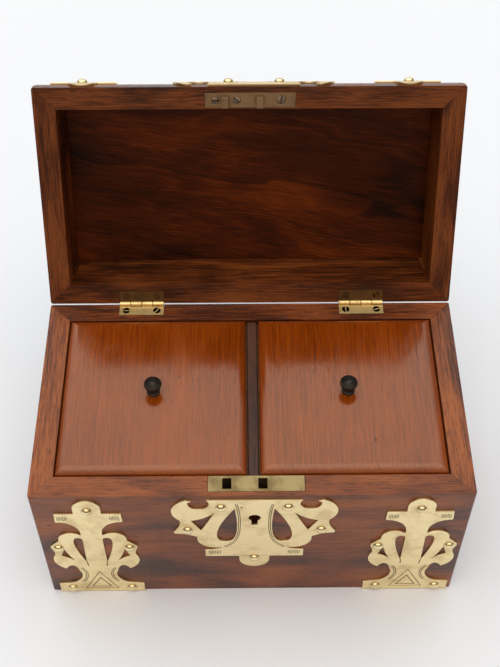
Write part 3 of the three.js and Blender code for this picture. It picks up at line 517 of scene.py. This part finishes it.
def tea_lid(side, shift, spots):
    """A panel with a rounded-over edge between a crisp line round the flat and a square lip."""
    node = f"{side}_tea_lid"
    low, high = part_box(node)
    bm = bmesh.new()
    levels = [(ARRIS, 0.0), (0.0, ARRIS)]
    for i in range(ROUND_STEPS + 1):
        angle = LAST_SLOPE * i / ROUND_STEPS
        inset = ROUND_OVER * (1 - math.cos(angle)) / (1 - math.cos(LAST_SLOPE))
        levels.append((inset, LIP + (high.z - low.z - LIP) * math.sin(angle) / math.sin(LAST_SLOPE)))
    rings = []
    for inset, rise in levels:
        x0, x1, y0, y1 = low.x + inset, high.x - inset, low.y + inset, high.y - inset
        corners = [(x0, y0), (x1, y0), (x1, y1), (x0, y1)]
        rings.append([bm.verts.new((x, y, low.z + rise)) for x, y in corners])
    bm.faces.new(rings[0][::-1])
    bm.faces.new(rings[-1])
    for under, over in zip(rings, rings[1:]):
        for i in range(4):
            j = (i + 1) % 4
            bm.faces.new((under[i], under[j], over[j], over[i]))
    mesh = mesh_from(bm, f"{side}_tea_lid_panel")
    hole = lathe([(0, -HOLE_DEPTH), (SPIGOT_HOLE, -HOLE_DEPTH), (SPIGOT_HOLE, MM), (0, MM)], 32)
    knob_low, knob_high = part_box(f"{side}_knob")
    centre = (knob_low + knob_high) / 2
    drill = mesh_from(hole, "drill", Matrix.Translation((centre.x, centre.y, high.z)))
    mesh = smooth(carve(mesh, [drill]), 12)
    material = wood(f"{side}_tea_lid_mahogany", TEA_TONES, "Y", shift=shift, band=0.6, warp=2.0,
                    pore=0.3, gloss=0.15, figure=0.3, cloud=0.5, fleck=1.3, spots=spots,
                    specular=0.9, sheen=(1, 0.82, 0.62))
    put(f"{side}_tea_lid_panel", mesh, node, material)


def knob(side):
    """A turned knob: foot, waist, collar and a flat head with turned rings."""
    node = f"{side}_knob"
    low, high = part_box(node)
    seat = high.z - KNOB_HEIGHT
    spigot = low.z - seat
    profile = [
        (0, spigot / MM), (2, spigot / MM), (2, 0), (3.55, 0), (3.65, 0.25), (3.6, 0.8), (3.3, 1.1),
        (2.75, 1.35), (2.6, 1.6), (2.45, 2.4), (2.2, 3.3), (2.25, 4.1), (2.6, 4.35), (3.0, 4.45),
        (3.1, 4.75), (2.95, 5.05), (2.8, 5.2), (3.3, 5.6), (4.3, 6.1), (4.7, 6.4), (4.8, 6.9),
        (4.75, 7.5), (4.45, 7.95), (4.1, 8.1), (3.85, 7.8), (3.6, 8.1), (3.3, 8.3), (3.0, 7.9),
        (2.7, 8.25), (2.3, 8.45), (1.9, 8.05), (1.5, 8.45), (1.0, 8.6), (0.5, 8.68), (0, 8.7),
    ]
    bm = lathe([(r * MM, h * MM) for r, h in profile], 56)
    x = (low.x + high.x) / 2
    y = (low.y + high.y) / 2
    mesh = smooth(mesh_from(bm, f"{side}_turned_knob", Matrix.Translation((x, y, seat))), 40)
    put(f"{side}_turned_knob", mesh, node, EBONY)


# ---------- screws, hinges, lock and link plates ----------

SHANK = 0.95 * MM
TIP = 0.55 * MM
COUNTERSINK = 1.2 * MM
SLOT_DEPTH = 0.55 * MM
SLOT_HALF_WIDTH = 0.32 * MM


def slotted_screw(node, facing, slot_degrees, material):
    """A countersunk slotted screw in place of a CAD one; facing is the way its head looks, lid shut."""
    low, high = shut_box(node)
    centre = (low + high) / 2
    half = (high - low) / 2
    direction = Vector(facing)
    along = max(range(3), key=lambda i: abs(direction[i]))
    radius = min(half[i] for i in range(3) if i != along)
    length = 2 * half[along]
    head = Vector(centre)
    head[along] = high[along] if direction[along] > 0 else low[along]
    profile = [
        (0, -length), (TIP, -length + 0.8 * MM), (SHANK, -length + 1.6 * MM),
        (SHANK, -COUNTERSINK - 0.3 * MM), (radius * 0.97, -0.15 * MM), (radius * 0.97, -0.05 * MM),
        (radius * 0.9, 0), (0, 0),
    ]
    bm = lathe(profile, 40)
    turn = Vector((0, 0, 1)).rotation_difference(direction).to_matrix().to_4x4()
    screw = mesh_from(bm, f"{node}_head")
    reach, half_width = radius * 1.2, SLOT_HALF_WIDTH
    outline = [(-reach, -half_width), (reach, -half_width), (reach, half_width), (-reach, half_width)]
    turned = Matrix.Rotation(math.radians(slot_degrees), 4, "Z")
    slot = mesh_from(prism(outline, -SLOT_DEPTH, MM), "slot", turned)
    screw.materials.append(material)
    screw = smooth(carve(screw, [slot], IN_CUTS), 30)
    screw.transform(placing(node) @ Matrix.Translation(head) @ turn)
    put(f"{node}_slotted", screw, node, None)


def screws():
    down, up, back = (0, 0, -1), (0, 0, 1), (0, 1, 0)
    slots = {
        "left_hinge_lower_screw_outer": (up, 0), "left_hinge_lower_screw_inner": (up, 55),
        "right_hinge_lower_screw_outer": (up, 20), "right_hinge_lower_screw_inner": (up, 95),
        "left_hinge_upper_screw_outer": (down, 60), "left_hinge_upper_screw_inner": (down, 120),
        "right_hinge_upper_screw_outer": (down, 20), "right_hinge_upper_screw_inner": (down, 95),
        "link_plate_screw_1": (down, 95), "link_plate_screw_2": (down, 45), "link_plate_screw_3": (down, 170),
        "lock_screw_left": (back, 35), "lock_screw_right": (back, 100),
    }
    for node, (facing, degrees) in slots.items():
        metal = SHADED_BRASS if "upper" in node else HINGE_BRASS if "hinge" in node else SCREW_METAL
        slotted_screw(node, facing, degrees, metal)


KNUCKLES = 4
KNUCKLE = 1.7 * MM
KNUCKLE_GAP = 0.12 * MM
KNUCKLE_ROOM = 2 * MM
HINGE_WIDTH = 25.4 * MM
KNUCKLE_PITCH = HINGE_WIDTH / KNUCKLES
LEAF = 1.2 * MM
LEAF_EASE = 0.15 * MM


def hinge_leaf(side, level):
    """A leaf with round knuckles; the lower leaf has the first and third, the upper the others."""
    node = f"{side}_hinge_{level}_leaf"
    upper = level == "upper"
    low = shut_box(node)[0]
    mine = [1, 3] if upper else [0, 2]
    x0 = middle_x(f"{side}_hinge_pin") - KNUCKLES / 2 * KNUCKLE_PITCH
    x1 = x0 + KNUCKLES * KNUCKLE_PITCH
    z0 = LID_RIM if upper else BODY_HEIGHT - LEAF
    inner = HINGE_LINE.y - KNUCKLE_ROOM
    ease = LEAF_EASE
    outline = [(x0, low.y + ease), (x0 + ease, low.y), (x1 - ease, low.y), (x1, low.y + ease)]
    for i in reversed(range(KNUCKLES)):
        reach = HINGE_LINE.y if i in mine else inner
        outline += [(x0 + (i + 1) * KNUCKLE_PITCH, reach), (x0 + i * KNUCKLE_PITCH, reach)]
    outline = [p for i, p in enumerate(outline) if p != outline[i - 1]]
    bm = prism(outline, z0, z0 + LEAF)
    half = KNUCKLE_PITCH / 2 - KNUCKLE_GAP
    profile = [
        (0, -half), (KNUCKLE - ease, -half), (KNUCKLE, -half + ease),
        (KNUCKLE, half - ease), (KNUCKLE - ease, half), (0, half),
    ]
    for i in mine:
        middle = Vector((x0 + (i + 0.5) * KNUCKLE_PITCH, HINGE_LINE.y, HINGE_LINE.z))
        knuckle = mesh_from(lathe(profile, 28), "knuckle",
                            Matrix.Translation(middle) @ Matrix.Rotation(math.pi / 2, 4, "Y"))
        for polygon in knuckle.polygons:
            polygon.material_index = 1
        bm.from_mesh(knuckle)
        bpy.data.meshes.remove(knuckle)
    mesh = smooth(mesh_from(bm, f"{node}_plate", placing(node)), 35)
    for metal in (SHADED_BRASS if upper else HINGE_BRASS, HINGE_BRASS):
        mesh.materials.append(metal)
    put(f"{node}_plate", mesh, node, None)


def metal_plates():
    """Hinge leaves, lock face plate and link plate."""
    for side in ("left", "right"):
        for level in ("lower", "upper"):
            hinge_leaf(side, level)
    eased("lock_face_plate", "lock_face_plate_brass", FACE_BRASS, 0.2 * MM)
    eased("link_plate", "link_plate_brass", DULL, 0.15 * MM)


# ---------- pierced brass mounts ----------

# Outlines are in millimetres: u across from the middle line, v away from the rim-side edge, w out of
# the wood. The CAD plate and studs have the same outlines and places.
PLATE = 1.1
STUD_RADIUS = 2.85
STUD_HEIGHT = 1.9
STUD_SHOULDER = 0.12
KEYHOLE_RADIUS = 3.2
KEYHOLE_HALF_SLOT = 1.65
KEYHOLE_DROP = 7.5
KEYHOLE_Z = 83.9
ENGRAVED_WIDTH = 0.42
ENGRAVED_DEPTH = 0.2
HATCH_WIDTH = 0.34
HATCH_DEPTH = 0.16
BODY_MOUNT_TOP = 3.2 * MM
LID_MOUNT_EDGE = 1.5 * MM
LID_SIDE_SCALE = 0.82
CURVE_STEPS = 10


class Outline:
    """A path of straight lines, arcs and Bezier curves."""

    def __init__(self, u, v):
        self.points = [Vector((u, v))]

    def line(self, u, v):
        self.points.append(Vector((u, v)))
        return self

    def arc(self, u, v, radius, start, end, radius_v=None):
        tall = radius if radius_v is None else radius_v
        steps = max(4, round(abs(end - start) / 9))
        for i in range(steps + 1):
            angle = math.radians(start + (end - start) * i / steps)
            self.points.append(Vector((u + radius * math.cos(angle), v + tall * math.sin(angle))))
        return self

    def curve(self, *controls):
        """A quadratic or cubic Bezier curve to the last control."""
        hull = [self.points[-1], *[Vector(c) for c in controls]]
        degree = len(hull) - 1
        for i in range(1, CURVE_STEPS + 1):
            t = i / CURVE_STEPS
            weights = [math.comb(degree, k) * t**k * (1 - t) ** (degree - k) for k in range(degree + 1)]
            self.points.append(sum((w * h for w, h in zip(weights, hull)), Vector((0, 0))))
        return self

    def mirrored(self):
        return [Vector((-p.x, p.y)) for p in self.points]


def centre_half():
    path = Outline(0, 0).line(24.8, 0).arc(29.2, 3.3, 5.5, 217, -14).line(32.8, 0.9)
    path.arc(31.5, 11, 12, -68, 48).curve((38.4, 25), (43.1, 32.3)).line(42.7, 34)
    path.curve((36, 34.4), (30.6, 38)).arc(20.8, 40, 10, -11, 112).curve((20, 52.4), (26.8, 52.5))
    return path.line(26.8, 59.8).line(8.3, 59.8).arc(0, 63.6, 8.3, 0, 90)


def centre_holes():
    teardrop = Outline(10.4, 8.3).curve((8.6, 22), (8, 43.3), (15, 43.3))
    teardrop.curve((24.3, 43.3), (20, 25), (10.4, 8.3))
    triangle = Outline(21, 12.3).curve((26, 19), (33.7, 20.5)).line(28.5, 30.8).curve((24.5, 22), (21, 12.3))
    return [teardrop, triangle]


def side_half():
    path = Outline(0, 0).arc(0, 7, 7.3, -90, 0, 7).line(7.3, 12.9).line(17.5, 12.9).line(17.8, 20.7)
    path.arc(17.3, 32.6, 11.5, -90, -180).line(5.8, 35.4).curve((8, 33.3), (11.3, 33.3))
    path.curve((16.5, 33.3), (18.6, 36.5), (18.4, 41.5)).line(23.4, 47.5).line(23.6, 49.2)
    path.curve((21.4, 55), (22.4, 57.4)).curve((25, 62), (24, 69.5), (17.8, 73.4))
    path.curve((15.6, 67.6), (11.6, 68.6), (10.84, 75.9)).arc(20.9, 80.6, 11.1, 205, 90)
    return path.line(24.2, 92.3).line(24.2, 101.5).line(0, 101.5)


def side_holes():
    teardrop = Outline(5.7, 65.4).line(5.4, 41).curve((5.4, 38.2), (8, 38.2))
    teardrop.curve((13, 38.2), (9.5, 54), (5.7, 65.4))
    triangle = Outline(16.4, 50.9).curve((18.2, 55.4), (18.8, 58.8)).curve((14.6, 60), (11.8, 64.4))
    triangle.curve((14.9, 58), (16.4, 50.9))
    return [teardrop, triangle]


LOW_CENTRE_STUDS = [(35.5, 30.6), (-35.5, 30.6), (0, 61.9)]
CENTRE_STUDS = [(17.5, 7), (-17.5, 7), *LOW_CENTRE_STUDS]
LID_CENTRE_STUDS = [(13.6, 7), (-13.6, 7), *LOW_CENTRE_STUDS]
SIDE_STUDS = [(0, 10), (19.4, 49.3), (-19.4, 49.3), (17, 97), (-17, 97)]


def keyhole_path():
    """Round top and straight slot of the keyhole, in the centre mount's u and v."""
    v = (BODY_HEIGHT - BODY_MOUNT_TOP) / MM - KEYHOLE_Z
    start = math.degrees(math.acos(KEYHOLE_HALF_SLOT / KEYHOLE_RADIUS))
    path = Outline(KEYHOLE_HALF_SLOT, v + KEYHOLE_DROP)
    path.arc(0, v, KEYHOLE_RADIUS, start, start - 360 + 2 * (90 - start))
    return path.line(-KEYHOLE_HALF_SLOT, v + KEYHOLE_DROP)


def trench(points, width, depth, closed=False):
    """A cutter that follows a line of points along the face of a plate."""
    count = len(points)
    sides = []
    for i, p in enumerate(points):
        before = points[(i - 1) % count] if closed or i > 0 else p
        after = points[(i + 1) % count] if closed or i < count - 1 else p
        steps = [d.normalized() for d in (p - before, after - p) if d.length > 1e-6]
        normals = [Vector((-d.y, d.x)) for d in steps]
        middle = sum(normals, Vector((0, 0))).normalized()
        reach = width / 2 / max(0.3, middle.dot(normals[0]))
        sides.append((p + middle * reach, p - middle * reach))
    bm = bmesh.new()
    rows = []
    for left, right in sides:
        corners = [(left, PLATE - depth), (right, PLATE - depth), (right, PLATE + 1), (left, PLATE + 1)]
        rows.append([bm.verts.new((q.x, q.y, w)) for q, w in corners])
    last = count if closed else count - 1
    for i in range(last):
        one, two = rows[i], rows[(i + 1) % count]
        for k in range(4):
            m = (k + 1) % 4
            bm.faces.new((one[k], one[m], two[m], two[k]))
    if not closed:
        bm.faces.new(rows[0][::-1])
        bm.faces.new(rows[-1])
    return mesh_from(bm, "trench")


def both_sides(path, width, depth, closed=False):
    return [trench(points, width, depth, closed) for points in (path.points, path.mirrored())]


def hatching(u0, u1, v0, v1, count):
    """A row of short strokes with slightly uneven ends."""
    cuts = []
    for i in range(count):
        u = u0 + (u1 - u0) * i / (count - 1)
        ends = (v0 + 0.35 * math.sin(2.4 * i), v1 - 0.35 * math.cos(1.7 * i))
        cuts += both_sides(Outline(u, ends[0]).line(u, ends[1]), HATCH_WIDTH, HATCH_DEPTH)
    return cuts


def centre_engraving():
    outer = Outline(10.0, 3.5).curve((8.7, 10), (8.3, 17), (8.4, 23))
    outer.curve((8.4, 38), (10.4, 44.5), (16.5, 48.6))
    inner = Outline(9.1, 3.5).curve((7.8, 10), (7.4, 17), (7.5, 23))
    inner.curve((7.5, 38.6), (9.6, 45.4), (16, 49.5))
    cuts = []
    for path in (outer, inner):
        cuts += both_sides(path, ENGRAVED_WIDTH, ENGRAVED_DEPTH)
    cuts += hatching(18.6, 24.6, 53.4, 57.2, 8)
    cuts.append(trench(Outline(-7.6, 59.4).line(7.6, 59.4).points, 0.3, 0.12))
    punch = Outline(7.3, 7).arc(6.9, 7, 0.4, 0, 324)
    cuts.append(trench(punch.points[1:], 0.5, ENGRAVED_DEPTH, closed=True))
    return cuts


def side_engraving():
    triangle = Outline(0, 77.3).line(9.2, 97.3).line(-9.2, 97.3)
    sunk = Outline(0, 84.6).line(5.4, 95.2).line(-5.4, 95.2)
    cuts = [
        trench(triangle.points, ENGRAVED_WIDTH, ENGRAVED_DEPTH, closed=True),
        trench(sunk.points, 0.55, ENGRAVED_DEPTH, closed=True),
    ]
    for radius in (13.3, 14.3):
        arc = Outline(0, 0).arc(20.9, 80.6, radius, 215, 142)
        arc.points = arc.points[1:]
        cuts += both_sides(arc, ENGRAVED_WIDTH, ENGRAVED_DEPTH)
    cuts += both_sides(Outline(5.55, 65.2).line(5.2, 70.2), 0.5, 0.6)
    cuts += hatching(11.4, 16.2, 15.3, 19.2, 7)
    return cuts


def flat_plate(half, holes, extra_holes=()):
    """The pierced plate, lying flat with its back at w = 0 and a small chamfer round its edges."""
    chamfer = 0.14
    right = half.points
    left = [p for p in reversed(half.mirrored()) if p.x < -1e-6]
    loops = [right + left, *extra_holes]
    for hole in holes:
        loops += [hole.points[:-1], hole.mirrored()[:-1]]
    curve = bpy.data.curves.new("plate", "CURVE")
    curve.dimensions = "2D"
    curve.fill_mode = "BOTH"
    curve.extrude = PLATE / 2 - chamfer
    curve.bevel_depth = chamfer
    curve.bevel_resolution = 1
    curve.offset = -chamfer
    for points in loops:
        tidy = [p for i, p in enumerate(points) if (p - points[i - 1]).length > 0.05]
        spline = curve.splines.new("POLY")
        spline.points.add(len(tidy) - 1)
        for target, p in zip(spline.points, tidy):
            target.co = (p.x, p.y, 0, 1)
        spline.use_cyclic_u = True
    holder = bpy.data.objects.new("plate", curve)
    bpy.context.scene.collection.objects.link(holder)
    bpy.context.view_layer.update()
    mesh = bpy.data.meshes.new_from_object(holder.evaluated_get(bpy.context.evaluated_depsgraph_get()))
    bpy.data.objects.remove(holder)
    bpy.data.curves.remove(curve)
    bm = bmesh.new()
    bm.from_mesh(mesh)
    bpy.data.meshes.remove(mesh)
    bmesh.ops.remove_doubles(bm, verts=bm.verts, dist=1e-4)
    return mesh_from(bm, "plate", Matrix.Translation((0, 0, PLATE / 2)))


def on_front(centre_x):
    """Places a point of a mount on the flat front of the body."""
    def place(p):
        return Vector((centre_x - p.x * MM, -HALF_D - p.z * MM, BODY_HEIGHT - BODY_MOUNT_TOP - p.y * MM))
    return place


def on_barrel(centre_x, scale_v):
    """Places a point of a mount on the lid's band and on round its barrel."""
    lift = 0.08 * MM

    def place(p):
        run = LID_MOUNT_EDGE + p.y * scale_v * MM
        out = lift + p.z * MM
        if run <= BAND:
            shut = Vector((centre_x + p.x * MM, -HALF_D - out, LID_RIM + run))
        else:
            angle = BARREL_START + (run - BAND) / BARREL
            radius = BARREL + out
            rise = BARREL_Z + radius * math.sin(angle)
            shut = Vector((centre_x + p.x * MM, -radius * math.cos(angle), rise))
        return TO_OPEN @ shut
    return place


def bend_lines(mesh, scale_v):
    """Slices the flat plate across so that it can follow the barrel."""
    bm = bmesh.new()
    bm.from_mesh(mesh)
    bmesh.ops.triangulate(bm, faces=bm.faces)
    highest = max(v.co.y for v in bm.verts)
    first = (BAND - LID_MOUNT_EDGE) / MM / scale_v
    spacing = 3.0
    for i in range(int((highest - first) / spacing) + 1):
        everything = bm.verts[:] + bm.edges[:] + bm.faces[:]
        bmesh.ops.bisect_plane(bm, geom=everything, dist=1e-4, plane_co=(0, first + i * spacing, 0),
                               plane_no=(0, 1, 0))
    bm.to_mesh(mesh)
    bm.free()


def stud_mesh(u, v, place):
    """A domed pin head with a fine shoulder where it meets the plate."""
    steps = 9
    neck = STUD_RADIUS - 0.1
    profile = [(0, PLATE * 0.5), (neck, PLATE * 0.5), (neck, PLATE + 0.05),
               (STUD_RADIUS, PLATE + STUD_SHOULDER)]
    for i in range(1, steps + 1):
        angle = math.pi / 2 * i / steps
        rise = STUD_SHOULDER + (STUD_HEIGHT - STUD_SHOULDER) * math.sin(angle)
        profile.append((STUD_RADIUS * math.cos(angle) if i < steps else 0, PLATE + rise))
    bm = lathe(profile, 32)
    mesh = mesh_from(bm, "stud", Matrix.Translation((u, v, 0)))
    for vertex in mesh.vertices:
        vertex.co = place(vertex.co)
    return smooth(mesh, 40)


def mount(node, plate, place, studs, scale_v=None):
    mesh = plate.copy()
    if scale_v is not None:
        bend_lines(mesh, scale_v)
    for vertex in mesh.vertices:
        vertex.co = place(vertex.co)
    smooth(mesh, 20)
    put(f"{node}_plate", mesh, node, None)
    for i, (u, v) in enumerate(studs):
        put(f"{node}_stud_{i + 1}", stud_mesh(u, v, place), node, STUD_BRASS, False)


def mounts():
    plain_centre = flat_plate(centre_half(), centre_holes())
    keyed_centre = flat_plate(centre_half(), centre_holes(), [keyhole_path().points])
    side = flat_plate(side_half(), side_holes())
    for mesh in (plain_centre, keyed_centre, side):
        mesh.materials.append(POLISHED)
    plain_centre = carve(plain_centre, centre_engraving(), IN_CUTS)
    keyed_centre = carve(keyed_centre, centre_engraving(), IN_CUTS)
    side = carve(side, side_engraving(), IN_CUTS)
    mount("body_centre_mount", keyed_centre, on_front(middle_x("body_centre_mount")), CENTRE_STUDS)
    lid_centre = on_barrel(middle_x("lid_centre_mount"), 1)
    mount("lid_centre_mount", plain_centre, lid_centre, LID_CENTRE_STUDS, 1)
    for name in ("left", "right"):
        on_body, on_lid_barrel = f"body_{name}_mount", f"lid_{name}_mount"
        mount(on_body, side, on_front(middle_x(on_body)), SIDE_STUDS)
        place = on_barrel(middle_x(on_lid_barrel), LID_SIDE_SCALE)
        mount(on_lid_barrel, side, place, SIDE_STUDS, LID_SIDE_SCALE)


# ---------- camera, light and floor ----------

KEY_LIGHT = 1.26
FILL_LIGHT = 0.3
FRONT_LIGHT = 0.82

LENS_MM = 62.8
SENSOR_MM = 36
CAMERA_TARGET_MM = (-0.68, 0, 157.8)
CAMERA_DISTANCE = 0.5919
# Elevation, yaw and roll in degrees.
CAMERA_ANGLES = (51.62, -0.57, 0.07)

FLOOR_FRONT = -0.42
FLOOR_BACK = 4.0
FLOOR_HALF_WIDTH = 2.5


def camera():
    """A long lens that looks down at the open caddy from the front."""
    target = Vector(CAMERA_TARGET_MM) * MM
    elevation, yaw, roll = (math.radians(d) for d in CAMERA_ANGLES)
    level = math.cos(elevation)
    back = Vector((math.sin(yaw) * level, -math.cos(yaw) * level, math.sin(elevation)))
    data = bpy.data.cameras.new("camera")
    data.sensor_width = SENSOR_MM
    data.lens = LENS_MM
    obj = bpy.data.objects.new("camera", data)
    bpy.context.scene.collection.objects.link(obj)
    obj.location = target + back * CAMERA_DISTANCE
    facing = (-back).to_track_quat("-Z", "Y").to_matrix().to_4x4()
    obj.rotation_euler = (facing @ Matrix.Rotation(roll, 4, "Z")).to_euler()
    bpy.context.scene.camera = obj


def floor():
    """A pale table that ends not far in front of the caddy; beyond it the room is dark."""
    bm = bmesh.new()
    corners = [
        (-FLOOR_HALF_WIDTH, FLOOR_FRONT), (FLOOR_HALF_WIDTH, FLOOR_FRONT),
        (FLOOR_HALF_WIDTH, FLOOR_BACK), (-FLOOR_HALF_WIDTH, FLOOR_BACK),
    ]
    bm.faces.new([bm.verts.new((x, y, 0)) for x, y in corners])
    mesh = mesh_from(bm, "floor")
    obj = bpy.data.objects.new("floor", mesh)
    bpy.context.scene.collection.objects.link(obj)
    s = Shader("pale_floor")
    mesh.materials.append(s.set(Base_Color=(0.775, 0.82, 0.85, 1), Roughness=0.9))


def light():
    """Soft light from overhead and behind, a weak fill, and a warm glow high in front of a dark room."""
    world = bpy.data.worlds.new("studio")
    bpy.context.scene.world = world
    world.use_nodes = True
    tree = world.node_tree
    tree.nodes.clear()

    def background(colour, strength):
        shader = tree.nodes.new("ShaderNodeBackground")
        shader.inputs["Color"].default_value = (*colour, 1)
        tree.links.new(strength, shader.inputs["Strength"])
        return shader.outputs[0]

    def towards(direction, dim, full, strength):
        lean = tree.nodes.new("ShaderNodeVectorMath")
        lean.operation = "DOT_PRODUCT"
        lean.inputs[1].default_value = direction
        tree.links.new(tree.nodes.new("ShaderNodeTexCoord").outputs["Generated"], lean.inputs[0])
        glow = tree.nodes.new("ShaderNodeMapRange")
        glow.interpolation_type = "SMOOTHSTEP"
        for key, value in (("From Min", dim), ("From Max", full), ("To Max", strength)):
            glow.inputs[key].default_value = value
        tree.links.new(lean.outputs["Value"], glow.inputs["Value"])
        return glow.outputs["Result"]

    def both(one, two):
        total = tree.nodes.new("ShaderNodeAddShader")
        tree.links.new(one, total.inputs[0])
        tree.links.new(two, total.inputs[1])
        return total.outputs[0]

    key = background((0.93, 1, 1.06), towards((-0.1, 0.38, 0.92), 0.42, 0.86, KEY_LIGHT))
    fill = background((1, 0.86, 0.76), towards((0, 0.5, 0.87), -0.1, 0.5, FILL_LIGHT))
    front = background((1, 0.80, 0.68), towards((0, -0.6, 0.8), 0.45, 0.9, FRONT_LIGHT))
    output = tree.nodes.new("ShaderNodeOutputWorld")
    tree.links.new(both(both(key, fill), front), output.inputs["Surface"])


woodwork()
inside_woods()
tea_lid("left", (12, 80, 30), [(-39.5, 10, 0.9), (-76, 31, 0.5)])
tea_lid("right", (140, 23, 66), [(65, -32, 1.3), (30, -2, 0.5)])
knob("left")
knob("right")
metal_plates()
screws()
mounts()
camera()
floor()
light()
bpy.context.scene.view_settings.view_transform = "Standard"
